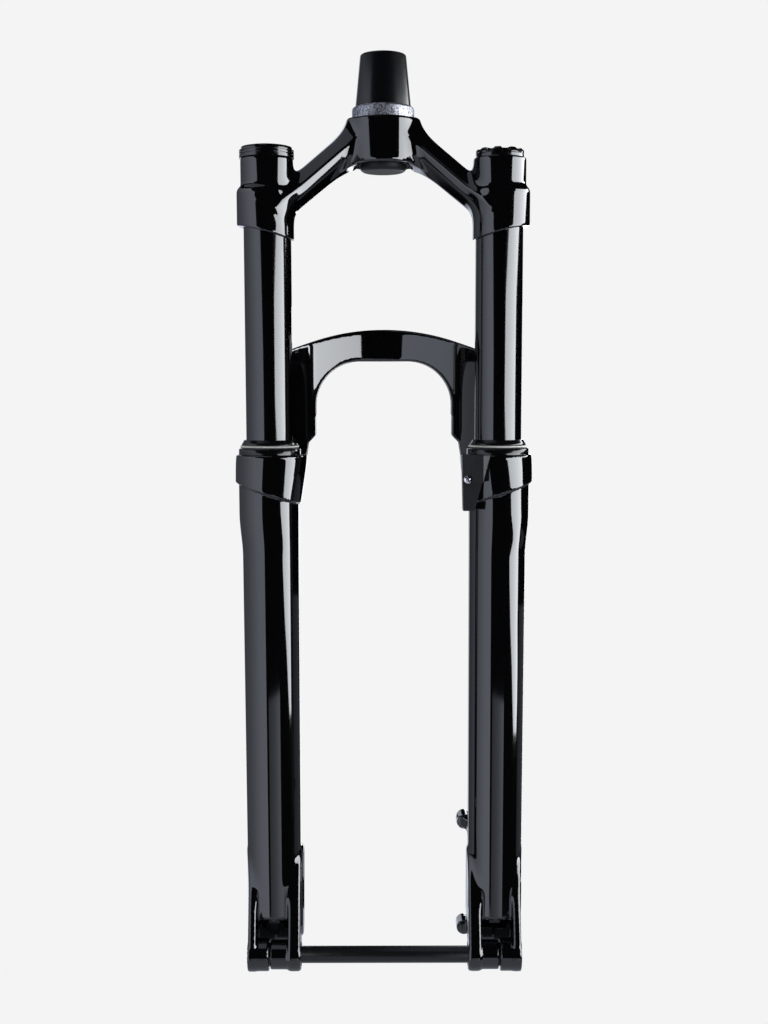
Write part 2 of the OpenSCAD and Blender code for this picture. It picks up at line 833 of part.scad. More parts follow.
module top_out_bumper() {
  low = guide_top + seat_gap;
  color("#1d1d1f") on_air_leg() sleeve(air_rod_r + fit_gap, bumper_r, low, low + bumper_h);
}

module bottom_out_bumper() {
  low = floor_top + seat_gap;
  color("#1d1d1f") on_air_leg() sleeve(air_rod_r + fit_gap, bumper_r, low, low + 2 * bumper_h);
}

module air_foot_nut() {
  color("#2b2c30") on_air_leg() difference() {
    translate([0, 0, leg_bottom - washer_t - nut_h]) cylinder(d = nut_af / cos(30), h = nut_h, $fn = 6);
    translate([0, 0, leg_bottom - washer_t - nut_h - eps]) cylinder(r = thread_r + fit_gap, h = reach);
  }
}

module crush_washers() {
  color("#a9acb1") on_legs() sleeve(bolt_hole_r, washer_r, leg_bottom - washer_t, leg_bottom);
}

// Hose guide on the inner front of the air leg's collar

// Block with the hose bore above, thin tail below
module hose_guide() {
  top = collar_top;
  low = collar_top - guide_drop;
  in_x = leg_x - collar_r - guide_edge;
  tail_front = guide_y + guide_bore_r + run_gap;
  color("#202124") difference() {
    intersection() {
      front_plate(guide_face_y, leg_y) polygon([
        [in_x, top], [guide_x + guide_half, top], [guide_x - tail_inset, low], [in_x + tail_edge, low]
      ]);
      translate([0, 0, low]) linear_extrude(guide_drop) polygon([
        [in_x, leg_y], [in_x, guide_y + guide_bevel], [guide_x - guide_bevel, guide_face_y],
        [guide_x + guide_bevel, guide_face_y], [guide_x + guide_half, guide_y],
        [guide_x + guide_half, leg_y]
      ]);
    }
    on_air_leg() translate([-collar_shift, 0, low - eps])
      cylinder(r = collar_r + fit_gap, h = guide_drop + 2 * eps);
    translate([guide_x, guide_y, low - eps]) cylinder(r = guide_bore_r, h = guide_drop + 2 * eps);
    translate([in_x - eps, guide_face_y - eps, low - eps])
      cube([collar_r, tail_front - guide_face_y + eps, guide_drop - guide_bore_h + eps]);
    guide_screw_hole();
  }
}

module hose_guide_screw() {
  color("#d0d2d6") translate([guide_screw_x, guide_screw_y, guide_screw_z]) rotate([90, 0, 0]) {
    cylinder(r = guide_screw_r, h = guide_screw_head);
    translate([0, 0, -guide_screw_h]) cylinder(r = guide_screw_r / 2, h = guide_screw_h + eps);
  }
}

// Room for the screw's thread and for its head in front of the guide
module guide_screw_hole() {
  translate([guide_screw_x, guide_screw_y, guide_screw_z]) rotate([90, 0, 0]) {
    cylinder(r = guide_screw_r + seat_gap, h = reach);
    translate([0, 0, -guide_screw_h - seat_gap])
      cylinder(r = guide_screw_r / 2 + fit_gap, h = guide_screw_h + 2 * seat_gap);
  }
}

// Axle

module thru_axle() {
  head = leg_x + cheek_out;
  bevel = 1;
  thread = leg_x + cheek_out - 2 * bevel;
  cone = 3;
  waist = hub_face_x;
  r = axle_d / 2;
  waist_r = axle_waist_d / 2;
  socket_af = 6;
  color("#17181b") translate([0, leg_y + axle_dy, axle_z]) rotate([0, 90, 0]) difference() {
    rotate_extrude() polygon([
      [0, -head], [axle_head_r, -head], [axle_head_r, axle_head_t - head - run_gap],
      [r, axle_head_t - head - run_gap], [r, -waist - cone], [waist_r, -waist], [waist_r, waist],
      [r, waist + cone], [r, thread - bevel], [r - bevel, thread], [0, thread]
    ]);
    translate([0, 0, -head - eps]) cylinder(d = socket_af / cos(30), h = socket_af, $fn = 6);
  }
}

module axle_insert() {
  color("#8d8f94") on_air_leg() translate([0, axle_dy, axle_z]) rotate([0, 90, 0])
    sleeve(axle_bore_r, insert_r - fit_gap, boss_split + split_t, cheek_out);
}

steerer_tube();
crown();
steerer_plug();
damper_stanchion();
air_stanchion();
damper_top_cap();
compression_knob();
compression_valve();
air_top_cap();
air_valve();
valve_cap();
damper_rod_guide();
air_seal_head();
retaining_rings();
lower_casting();
wiper_seals();
seal_springs();
foam_rings();
upper_bushings();
lower_bushings();
damper_rod();
rebound_piston();
damper_foot_bolt();
rebound_knob();
air_rod();
air_piston();
top_out_bumper();
bottom_out_bumper();
air_foot_nut();
crush_washers();
hose_guide();
hose_guide_screw();
thru_axle();
axle_insert();
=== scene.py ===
# Suspension fork: the cast forms, finishes, studio and camera around the solid model.
# Forms are worked out in millimetres in the model's own frame and written as metres.
import json
import math

import bpy
import numpy as np
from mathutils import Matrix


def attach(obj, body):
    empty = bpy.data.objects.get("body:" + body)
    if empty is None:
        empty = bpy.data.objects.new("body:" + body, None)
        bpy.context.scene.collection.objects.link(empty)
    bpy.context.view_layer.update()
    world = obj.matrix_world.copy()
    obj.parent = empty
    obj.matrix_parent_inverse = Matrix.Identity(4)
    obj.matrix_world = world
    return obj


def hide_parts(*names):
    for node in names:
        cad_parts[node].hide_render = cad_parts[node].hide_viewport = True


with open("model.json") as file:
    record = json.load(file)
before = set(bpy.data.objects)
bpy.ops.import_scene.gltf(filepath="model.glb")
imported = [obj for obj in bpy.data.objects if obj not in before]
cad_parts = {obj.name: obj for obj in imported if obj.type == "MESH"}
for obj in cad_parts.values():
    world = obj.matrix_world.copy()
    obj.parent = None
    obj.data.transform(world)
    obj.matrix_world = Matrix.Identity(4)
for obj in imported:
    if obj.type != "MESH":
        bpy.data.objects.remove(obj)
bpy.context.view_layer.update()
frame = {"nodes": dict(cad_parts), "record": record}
MM = 0.001
GRID = 1.0

# Places and sizes of the fork: the solid model's, or close to them where the cast forms differ a little
LEG_X, LEG_Y = 73.0, -25.0
AXLE_Y, AXLE_Z = -42.0, -540.0
STANCHION_R = 15.0

BOSS_R, BOSS_BORE_R, BOSS_LOW = 22.1, 19.42, -28.5
ARM_X, ARM_Z, ARM_HALF = 17.1, -13.3, 10.4
ARM_ALONG_X, ARM_ALONG_Z = 0.7315, -0.6818
SOCKET_R, SOCKET_TOP = 16.5, -28.0
SWELL_R, SWELL_OUT, SWELL_TOP = 17.8, 1.3, -47.3
SKIRT_MID, SKIRT_SLOPE = -74.0, math.radians(14.0)

COLLAR_TOP = -212.31
COLLAR_MID = COLLAR_TOP - 25.0
COLLAR_R, COLLAR_IN = 23.4, 1.2
COLLAR_SLOPE, COLLAR_LEAN = math.radians(18.0), math.radians(9.0)
SEAL_SEAT_R, SEAL_SEAT_LOW = 19.2, COLLAR_TOP - 15.0
LEG_FOOT_R, LEG_TAPER, LEG_TAPER_H, LEG_BORE_R = 17.7, 0.5, 252.0, 16.0
SLEEVE_LOW, SLEEVE_TOP, SLEEVE_RISE, SLEEVE_OUT = -278.0, -250.0, 1.0, 0.9
LEG_BOTTOM, FLOOR_TOP, FOOT_HOLE_R = -517.0, -509.5, 4.2

ARCH_CENTRE_Y, ARCH_SWEPT_R, ARCH_BACK_R = -44.48, 70.08, 81.58
ARCH_TOP_R, ARCH_TOP_CENTRE = 138.0, COLLAR_TOP - 57.0
ARCH_END, ARCH_LOW = 68.0, -245.3
GAP_HALF, GAP_CORNER_R, GAP_CORNER_Z = 45.0, 29.0, COLLAR_TOP + 31.0
FLARE_TOP, STEP_TOP, STEP_SIDE = -188.0, -201.3, 5.0
SOCKET_PASS_R = 20.6  # room in the arch for a crown socket at full travel

CHEEK_TOP, CHEEK_TOP_R = (0.0, AXLE_Z + 56.0), 10.5
CHEEK_LOW = (AXLE_Y - LEG_Y, AXLE_Z)
OUTER_CHEEK, OUTER_CHEEK_R = (10.8, 16.3), 10.6
INNER_CHEEK, INNER_CHEEK_R = (-18.0, -9.7), 10.7
OUTER_BARREL, OUTER_BARREL_R = (2.7, 16.3), 10.6
INNER_BARREL, INNER_BARREL_R = (-18.0, 1.7), 9.5
AXLE_BORE_R = 7.55
AXLE_HEAD_R, AXLE_HEAD_SEAT = 8.75, 12.7
INSERT_R, INSERT_SEAT = 8.8, 3.2
WALL_R, WALL_ROOM_U, WALL_ROOM_V = 17.0, 12.3, 9.5

POST_U, POST_V, POST_R = 54.0 - LEG_X, 23.0, 4.9
POST_FRONT, POST_FACE = 16.0, 30.0
POST_LOW, POST_HIGH = AXLE_Z + 5.0, AXLE_Z + 79.2
POST_HOLE_R, POST_HOLE_END = 2.5, 18.0

LIP_SPRING_Z = COLLAR_TOP + 5.0
SCREW_X, SCREW_Z = 52.6, COLLAR_TOP - 15.0
SCREW_HEAD_R, SCREW_HEAD_LOW, SCREW_HEAD_TOP = 2.5, -49.16, -51.2
SCREW_SHANK_R, SCREW_END = 1.25, -33.5


# Rounded joining and cutting of forms that are given by their distance
def join(a, b, k):
    h = np.maximum(k - np.abs(a - b), 0.0) / k
    return np.minimum(a, b) - h * h * h * k / 6.0


def keep(a, b, k):
    return -join(-a, -b, k)


def cut(a, b, k):
    return keep(a, -b, k)


def between(c, low, high):
    return np.maximum(low - c, c - high)


def ramp(c, low, high):
    t = np.clip((c - low) / (high - low), 0.0, 1.0)
    return t * t * (3.0 - 2.0 * t)


def facet(p, q, turn):
    """Flat whose direction takes its two shares from p and q."""
    return p * turn[0] + q * turn[1]


def above_slope(u, z, middle, slope):
    """What lies above a flat that rises along u."""
    return (middle + u * math.tan(slope) - z) * math.cos(slope)


def link(p, q, a, r_a, b, r_b):
    """Distance from an outline around two circles and their common tangents."""
    dx, dy = b[0] - a[0], b[1] - a[1]
    h = dx * dx + dy * dy
    px, py = p - a[0], q - a[1]
    qx = np.abs(px * dy - py * dx) / h
    qy = (px * dx + py * dy) / h
    fall = r_a - r_b
    cx = math.sqrt(h - fall * fall)
    side = cx * qy - fall * qx
    n = qx * qx + qy * qy
    at_a = np.sqrt(h * n) - r_a
    at_b = np.sqrt(np.maximum(h * (n + 1.0 - 2.0 * qy), 0.0)) - r_b
    along = cx * qx + fall * qy - r_a
    return np.where(side < 0.0, at_a, np.where(side > cx, at_b, along))


# Skin of a form: a net of quads laid on a grid, then drawn onto the form
BLOCK, BATCH = 8, 256


def sample(form, grid):
    """The form's values on the grid. A block of points far from the surface takes the value at its middle."""
    counts = [len(g) for g in grid]
    field = np.empty(counts, np.float32)
    firsts = [np.arange(0, n, BLOCK) for n in counts]
    ends = [np.minimum(f + BLOCK, n) for f, n in zip(firsts, counts)]
    mids = [(g[f] + g[e - 1]) / 2 for g, f, e in zip(grid, firsts, ends)]
    halves = [(g[e - 1] - g[f]) / 2 + np.max(np.diff(g)) for g, f, e in zip(grid, firsts, ends)]
    cx, cy, cz = np.meshgrid(*mids, indexing="ij")
    hx, hy, hz = np.meshgrid(*halves, indexing="ij")
    coarse = form(cx.ravel(), cy.ravel(), cz.ravel()).reshape(cx.shape)
    near = np.abs(coarse) < 1.35 * np.sqrt(hx * hx + hy * hy + hz * hz) + 1.0
    for block in np.argwhere(~near):
        span = tuple(slice(f[n], e[n]) for f, e, n in zip(firsts, ends, block))
        field[span] = coarse[tuple(block)]
    todo = np.argwhere(near)
    for start in range(0, len(todo), BATCH):
        points = []
        for block in todo[start:start + BATCH]:
            lines = [np.arange(f[n], e[n]) for f, e, n in zip(firsts, ends, block)]
            points.append(np.stack([c.ravel() for c in np.meshgrid(*lines, indexing="ij")]))
        at = tuple(np.concatenate(points, axis=1))
        field[at] = form(*(g[i] for g, i in zip(grid, at)))
    return field


def lay_net(field, grid):
    """One point in each cell that the surface crosses, and a quad round each grid edge that it crosses."""
    inside = field < 0.0
    count = np.zeros([n - 1 for n in field.shape], np.uint8)
    corners = [(a, b, c) for a in (0, 1) for b in (0, 1) for c in (0, 1)]
    for corner in corners:
        count += inside[tuple(slice(s, n + s) for s, n in zip(corner, count.shape))]
    cells = np.argwhere((count > 0) & (count < 8))
    number = np.full(count.shape, -1, np.int32)
    number[tuple(cells.T)] = np.arange(len(cells))
    total = np.zeros((len(cells), 3))
    weight = np.zeros((len(cells), 1))
    ends = [(p, q) for p in corners for q in corners
            if p < q and sum(abs(s - t) for s, t in zip(p, q)) == 1]
    for p, q in ends:
        ip, iq = tuple((cells + p).T), tuple((cells + q).T)
        fp, fq = field[ip].astype(float), field[iq].astype(float)
        cross = (fp < 0) != (fq < 0)
        t = np.where(cross, fp / np.where(cross, fp - fq, 1.0), 0.0)[:, None]
        at_p = np.stack([g[i] for g, i in zip(grid, ip)], 1)
        at_q = np.stack([g[i] for g, i in zip(grid, iq)], 1)
        total += np.where(cross[:, None], at_p + t * (at_q - at_p), 0.0)
        weight += cross[:, None]
    quads = []
    for axis in range(3):
        low, high = [slice(None)] * 3, [slice(None)] * 3
        low[axis], high[axis] = slice(0, -1), slice(1, None)
        edges = np.argwhere(inside[tuple(low)] != inside[tuple(high)])
        u, v = (axis + 1) % 3, (axis + 2) % 3
        edges = edges[(edges[:, u] > 0) & (edges[:, v] > 0)]
        edges = edges[(edges[:, u] < count.shape[u]) & (edges[:, v] < count.shape[v])]
        around = []
        for du, dv in ((-1, -1), (0, -1), (0, 0), (-1, 0)):
            cell = edges.copy()
            cell[:, u] += du
            cell[:, v] += dv
            around.append(number[tuple(cell.T)])
        ring = np.stack(around, 1)
        outwards = inside[tuple(edges.T)]
        quads.append(np.where(outwards[:, None], ring, ring[:, ::-1]))
    return total / weight, np.concatenate(quads)


def even_out(verts, quads):
    """Moves each point half of the way to the middle of its neighbours."""
    spread = np.zeros_like(verts)
    times = np.zeros((len(verts), 1))
    for a in range(4):
        np.add.at(spread, quads[:, a], verts[quads[:, (a + 1) % 4]])
        np.add.at(spread, quads[:, a], verts[quads[:, a - 1]])
        np.add.at(times, quads[:, a], 2.0)
    return verts + 0.5 * (spread / np.maximum(times, 1.0) - verts)


def slopes(form, verts):
    """The form's value at the points, and its rise along each axis."""
    x, y, z = verts.T
    e = 0.04
    parts = [(form(x + e * a, y + e * b, z + e * c) - form(x - e * a, y - e * b, z - e * c)) / (2 * e)
             for a, b, c in ((1, 0, 0), (0, 1, 0), (0, 0, 1))]
    slope = np.stack(parts, 1)
    slope[np.sum(slope * slope, 1) < 0.01] = (0.0, 0.0, 1.0)
    return form(x, y, z), slope


def skin(form, *grid):
    """Points, quads and normals of the form's surface."""
    verts, quads = lay_net(sample(form, grid), grid)
    for evened in (False, True, True, False):
        if evened:
            verts = even_out(verts, quads)
        value, slope = slopes(form, verts)
        verts = verts - np.clip(value, -1.0, 1.0)[:, None] * slope / np.sum(slope * slope, 1)[:, None]
    slope = slopes(form, verts)[1]
    return verts, quads, slope / np.linalg.norm(slope, axis=1)[:, None]


def piece(name, verts, faces, normals=None, sharp=None):
    mesh = bpy.data.meshes.new(name)
    mesh.from_pydata((np.asarray(verts) * MM).tolist(), [], [tuple(int(i) for i in f) for f in faces])
    mesh.update()
    mesh.shade_smooth()
    if sharp is not None:
        mesh.set_sharp_from_angle(angle=math.radians(sharp))
    if normals is not None:
        mesh.normals_split_custom_set_from_vertices(normals.tolist())
    obj = bpy.data.objects.new(name, mesh)
    bpy.context.scene.collection.objects.link(obj)
    return obj


def steps(start, *runs):
    """Grid lines from a start through runs of (end, spacing)."""
    lines = [start]
    for end, gap in runs:
        count = max(1, round((end - lines[-1]) / gap))
        lines += list(np.linspace(lines[-1], end, count + 1)[1:])
    return np.array(lines, float)


# Crown: a boss, two arms whose facets meet in a ridge, and two sockets that are cut off along a slope
def arm_shape(ax, y, z):
    """Arm from the boss to a socket: s runs along it, w across it, q in from its front and b in from its back."""
    s = (ax - ARM_X) * ARM_ALONG_X + (z - ARM_Z) * ARM_ALONG_Z
    w = -(ax - ARM_X) * ARM_ALONG_Z + (z - ARM_Z) * ARM_ALONG_X
    q = (y + 13.0 + 0.39 * s) * 0.93
    b = (16.6 - 0.4646 * s - y) * 0.907
    ridge_up, ridge_down, edge, back = (0.866, 0.5), (0.819, 0.574), (0.966, 0.259), (0.7, 0.714)
    arm = keep(facet(-q, w - 0.2, ridge_up), facet(-q, 0.2 - w, ridge_down), 2.2)
    arm = keep(arm, facet(w - 8.0, 4.0 - q, edge), 1.6)
    arm = keep(arm, facet(-4.5 - w, 2.7 - q, edge), 1.6)
    arm = keep(arm, keep(w - ARM_HALF, -ARM_HALF - w, 2.0), 2.0)
    arm = keep(arm, -b, 4.0)
    arm = keep(arm, facet(-b, w - 3.0, back), 3.0)
    arm = keep(arm, facet(-b, -3.0 - w, back), 3.0)
    return keep(arm, between(s, -10.0, 66.0), 2.0)


def crown_form(x, y, z):
    ax = np.abs(x)
    centre = np.hypot(x, y)
    u, v = ax - LEG_X, y - LEG_Y
    axis = np.hypot(u, v)
    boss = keep(centre - BOSS_R, between(z, BOSS_LOW, 0.0), 2.6)
    slim = keep(axis - SOCKET_R, z - SOCKET_TOP, 2.0)
    swollen = np.hypot(u - SWELL_OUT, v) - SWELL_R
    swell = keep(swollen, facet(z - SWELL_TOP, swollen, (0.71, 0.71)), 2.5)
    arm_fillet = 8.0 + 9.0 * ramp(y, -19.0, -8.0) * (1.0 - ramp(y, 2.0, 14.0))
    body = join(boss, arm_shape(ax, y, z), arm_fillet)
    body = join(body, join(slim, swell, 1.5), 9.0)
    body = keep(body, above_slope(u, z, SKIRT_MID, SKIRT_SLOPE), 1.5)
    body = keep(body, z, 0.6)
    body = cut(body, centre - BOSS_BORE_R, 0.5)
    return cut(body, axis - STANCHION_R, 0.6)


def make_crown():
    h = 0.8 * GRID
    return piece("crown_body", *skin(
        crown_form, steps(-94.0, (94.0, h)), steps(-46.0, (26.0, h)), steps(-82.0, (2.0, h))))


# Lower casting: both legs, the arch behind them, the dropouts and the brake posts.
# u and v are measured from the leg's own axis, u outwards and v to the back.
def leg_shape(u, v, z):
    sleeve = ramp(z, SLEEVE_LOW, SLEEVE_TOP)
    taper = LEG_TAPER * np.clip((z - LEG_BOTTOM) / LEG_TAPER_H, 0.0, 1.0)
    r = LEG_FOOT_R + taper + SLEEVE_RISE * sleeve
    tube = keep(np.hypot(u - SLEEVE_OUT * sleeve, v) - r, between(z, LEG_BOTTOM, COLLAR_TOP - 1.0), 2.5)
    lean = np.maximum(COLLAR_TOP - 1.6 - z, 0.0) * math.tan(COLLAR_LEAN)
    collar = keep(np.hypot(u + COLLAR_IN, v) - COLLAR_R, np.hypot(u + COLLAR_IN - lean, v) - COLLAR_R, 3.0)
    collar = keep(collar, above_slope(u, z, COLLAR_MID, COLLAR_SLOPE), 1.6)
    collar = keep(collar, z - COLLAR_TOP, 2.6)
    return join(tube, collar, 1.6)


def arc(x, middle_x, middle_y, r):
    return middle_y + np.sqrt(np.maximum(r * r - (x - middle_x) ** 2, 1.0))


def arch_front(ax):
    """Front of the arch in plan: tightly bowed in the middle, flatter beside it, then swept to the legs."""
    ax = np.minimum(ax, 66.0)
    face = np.where(ax < 15.0, arc(ax, 0.0, -29.4, 55.0), arc(ax, -24.0, -114.06, 143.0))
    swept = arc(ax, 0.0, ARCH_CENTRE_Y, ARCH_SWEPT_R)
    return face + (swept - face) * ramp(ax, 44.0, 60.0)


def arch_shape(x, y, z):
    ax = np.abs(x)
    front = (arch_front(ax) - y) * (1.0 - 0.35 * np.clip(ax / 60.0, 0.0, 1.0))
    plan = np.maximum(front, np.hypot(x, y - ARCH_CENTRE_Y) - ARCH_BACK_R)
    crest = np.hypot(x, z - ARCH_TOP_CENTRE) - ARCH_TOP_R
    qx, qz = ax - (GAP_HALF - GAP_CORNER_R), z - GAP_CORNER_Z
    gap = np.hypot(np.maximum(qx, 0), np.maximum(qz, 0)) + np.minimum(np.maximum(qx, qz), 0) - GAP_CORNER_R
    below = STEP_TOP - z
    foot_half = GAP_HALF + np.clip(below, 0.0, STEP_SIDE) + np.clip((below - STEP_SIDE) * 0.154, 0.0, 6.0)
    arch = keep(plan, np.maximum(crest, ax - ARCH_END), 3.2)
    arch = cut(arch, gap, 3.2)
    arch = keep(arch, np.where(z < FLARE_TOP, (foot_half - ax) * 0.75, -99.0), 2.0)
    arch = keep(arch, ARCH_LOW - z, 3.0)
    axis = np.hypot(ax - LEG_X, y - LEG_Y)
    return cut(arch, np.maximum(axis - SOCKET_PASS_R, COLLAR_TOP - z), 1.5)


def dropout_shape(u, v, z, round_axle):
    """The two cheeks and the barrel between them, which is split in two."""
    outer = keep(link(v, z, CHEEK_TOP, CHEEK_TOP_R, CHEEK_LOW, OUTER_CHEEK_R), between(u, *OUTER_CHEEK), 3.4)
    inner = keep(link(v, z, CHEEK_TOP, CHEEK_TOP_R, CHEEK_LOW, INNER_CHEEK_R), between(u, *INNER_CHEEK), 3.4)
    barrel = np.minimum(keep(round_axle - OUTER_BARREL_R, between(u, *OUTER_BARREL), 1.4),
                        keep(round_axle - INNER_BARREL_R, between(u, *INNER_BARREL), 1.4))
    return outer, inner, barrel


def wall_shape(u, v, z):
    """Wall behind the foot bolt, U-shaped in plan."""
    room = np.maximum(np.abs(u) - WALL_ROOM_U, v - WALL_ROOM_V)
    wall = cut(np.hypot(u, v) - WALL_R, room, 1.0)
    wall = keep(wall, between(z, AXLE_Z - 4.0, LEG_BOTTOM + 3.0), 1.5)
    return keep(wall, -4.0 - v, 1.0)


def pad_shape(u, v, z):
    """Raised pad on the inner side of the damper leg's foot."""
    outline = link(v, z, (4.0, LEG_BOTTOM + 36.0), 9.0, (-2.0, LEG_BOTTOM - 6.0), 9.0)
    return keep(outline, between(u, -19.2, -9.7), 2.5)


def post_hole(u, v, z, height):
    return np.maximum(np.hypot(u - POST_U, z - height) - POST_HOLE_R, POST_HOLE_END - v)


def brake_shape(u, v, z):
    """The two posts, the arm that holds the upper one and the rib that holds the lower one."""
    posts = 99.0
    for height in (POST_LOW, POST_HIGH):
        post = keep(np.hypot(u - POST_U, z - height) - POST_R, between(v, POST_FRONT, POST_FACE), 1.2)
        posts = np.minimum(posts, cut(post, post_hole(u, v, z, height), 0.6))
    arm = keep(link(u, v, (0.0, 0.0), 14.2, (POST_U, POST_V), POST_R), np.abs(z - POST_HIGH) - 3.43, 1.6)
    rib = link(v, z, (0.0, AXLE_Z + 16.8), 9.8, (POST_V, POST_LOW), POST_R)
    return posts, arm, keep(rib, between(u, -17.0, -9.0), 1.6)


def casting_form(x, y, z):
    u, v = np.abs(x) - LEG_X, y - LEG_Y
    axis = np.hypot(u, v)
    round_axle = np.hypot(v - CHEEK_LOW[0], z - CHEEK_LOW[1])
    air_side = x > 0.0
    outer, inner, barrel = dropout_shape(u, v, z, round_axle)
    body = join(leg_shape(u, v, z), arch_shape(x, y, z), 5.0)
    for form, fillet in ((outer, 5.0), (inner, 5.0), (barrel, 2.0), (wall_shape(u, v, z), 2.0)):
        body = join(body, form, fillet)
    posts, arm, rib = brake_shape(u, v, z)
    braked = join(join(join(body, arm, 4.0), rib, 3.0), posts, 2.5)
    for height in (POST_LOW, POST_HIGH):
        braked = cut(braked, post_hole(u, v, z, height), 0.5)
    body = np.where(air_side, braked, join(body, pad_shape(u, v, z), 1.5))
    body = cut(body, np.maximum(axis - SEAL_SEAT_R, SEAL_SEAT_LOW - z), 0.6)
    body = cut(body, np.maximum(axis - LEG_BORE_R, FLOOR_TOP - z), 0.6)
    body = cut(body, np.maximum(axis - FOOT_HOLE_R, between(z, LEG_BOTTOM - 2.0, FLOOR_TOP + 1.0)), 0.5)
    body = cut(body, round_axle - AXLE_BORE_R, 0.5)
    insert_seat = np.maximum(round_axle - INSERT_R, INSERT_SEAT - u)
    head_seat = np.maximum(round_axle - AXLE_HEAD_R, AXLE_HEAD_SEAT - u)
    return cut(body, np.where(air_side, insert_seat, head_seat), 0.5)


def make_casting():
    """The grid is wide along the plain run of the legs, where only their slight taper changes."""
    h = 1.2 * GRID
    return piece("leg_casting", *skin(
        casting_form, steps(-96.0, (-44.0, h), (44.0, 1.3 * h), (96.0, h)), steps(-56.0, (40.0, h)),
        steps(-555.0, (-450.0, 0.95 * h), (-442.0, 2.0), (-286.0, 13.0), (-278.0, 2.0), (-128.0, 1.1 * h))))


# Turned pieces, from closed outlines of (radius, height)
def turned(name, outline, sharp=35.0, sides=160):
    turn = np.arange(sides) * 2.0 * math.pi / sides
    rings = [np.stack([r * np.cos(turn), r * np.sin(turn), np.full(sides, z)], 1) for r, z in outline]
    faces = []
    for i in range(len(outline)):
        a, b = i * sides, ((i + 1) % len(outline)) * sides
        for j in range(sides):
            k = (j + 1) % sides
            faces.append((a + j, a + k, b + k, b + j))
    return piece(name, np.concatenate(rings), faces, sharp=sharp)


def make_steerer():
    """Tube above the race seat, with a small round edge at its cut top."""
    foot = [(16.2, 7.4), (17.8, 7.5), (17.65, 9.0)]
    top = [(14.75, 39.0), (14.6, 39.6), (14.2, 39.95), (13.7, 40.0)]
    bore = [(12.1, 40.0), (11.8, 39.7), (11.8, 20.0), (15.0, -9.5), (15.0, BOSS_LOW)]
    base = [(19.4, BOSS_LOW), (19.4, -0.5), (16.2, -0.5)]
    return turned("steerer_shaft", foot + top + bore + base)


def make_race_seat():
    """Bare ring that the headset bearing's race is pressed on."""
    inner_r, outer_r, low, top, edge_r = 16.5, 19.9, -0.4, 7.5, 1.6
    edge = [(outer_r - edge_r * (1 - math.cos(t)), top - edge_r * (1 - math.sin(t)))
            for t in np.radians(range(0, 91, 10))]
    return turned("race_seat_ring", [(inner_r, low), (outer_r, low)] + edge + [(inner_r, top)])


# Springs round the seal lips: a wire that winds round a ring, drawn by a node tree
def spring_tree():
    tree = bpy.data.node_groups.new("lip_spring_winding", "GeometryNodeTree")
    face = tree.interface
    face.new_socket("Geometry", in_out="OUTPUT", socket_type="NodeSocketGeometry")
    for name in ("Ring Radius", "Winding Radius", "Wire Radius"):
        face.new_socket(name, in_out="INPUT", socket_type="NodeSocketFloat")
    face.new_socket("Turns", in_out="INPUT", socket_type="NodeSocketInt")
    face.new_socket("Centre", in_out="INPUT", socket_type="NodeSocketVector")
    face.new_socket("Finish", in_out="INPUT", socket_type="NodeSocketMaterial")
    node = tree.nodes.new
    join_up = tree.links.new
    ins, outs = node("NodeGroupInput"), node("NodeGroupOutput")

    def maths(kind, a, b=None):
        n = node("ShaderNodeMath")
        n.operation = kind
        for i, value in enumerate((a, b)):
            if value is None:
                continue
            if isinstance(value, (int, float)):
                n.inputs[i].default_value = value
            else:
                join_up(value, n.inputs[i])
        return n.outputs[0]

    points_a_turn = 10
    points = maths("MULTIPLY", ins.outputs["Turns"], points_a_turn)
    line = node("GeometryNodeMeshLine")
    join_up(points, line.inputs["Count"])
    part = maths("DIVIDE", node("GeometryNodeInputIndex").outputs[0], points)
    round_ring = maths("MULTIPLY", part, 2.0 * math.pi)
    round_wire = maths("MULTIPLY", round_ring, ins.outputs["Turns"])
    out_of_ring = maths("MULTIPLY", ins.outputs["Winding Radius"], maths("COSINE", round_wire))
    r = maths("ADD", ins.outputs["Ring Radius"], out_of_ring)
    place = node("ShaderNodeCombineXYZ")
    join_up(maths("MULTIPLY", r, maths("COSINE", round_ring)), place.inputs[0])
    join_up(maths("MULTIPLY", r, maths("SINE", round_ring)), place.inputs[1])
    join_up(maths("MULTIPLY", ins.outputs["Winding Radius"], maths("SINE", round_wire)), place.inputs[2])
    shift = node("ShaderNodeVectorMath")
    join_up(place.outputs[0], shift.inputs[0])
    join_up(ins.outputs["Centre"], shift.inputs[1])
    move = node("GeometryNodeSetPosition")
    join_up(line.outputs[0], move.inputs["Geometry"])
    join_up(shift.outputs[0], move.inputs["Position"])
    curve = node("GeometryNodeMeshToCurve")
    join_up(move.outputs[0], curve.inputs["Mesh"])
    close = node("GeometryNodeSetSplineCyclic")
    close.inputs["Cyclic"].default_value = True
    join_up(curve.outputs[0], close.inputs["Geometry"])
    wire = node("GeometryNodeCurvePrimitiveCircle")
    wire.inputs["Resolution"].default_value = 6
    join_up(ins.outputs["Wire Radius"], wire.inputs["Radius"])
    sweep = node("GeometryNodeCurveToMesh")
    join_up(close.outputs[0], sweep.inputs["Curve"])
    join_up(wire.outputs[0], sweep.inputs["Profile Curve"])
    smooth = node("GeometryNodeSetShadeSmooth")
    join_up(sweep.outputs[0], smooth.inputs["Geometry"])
    real = node("GeometryNodeRealizeInstances")
    join_up(smooth.outputs[0], real.inputs[0])
    paint = node("GeometryNodeSetMaterial")
    join_up(real.outputs[0], paint.inputs["Geometry"])
    join_up(ins.outputs["Finish"], paint.inputs["Material"])
    join_up(paint.outputs[0], outs.inputs[0])
    return tree


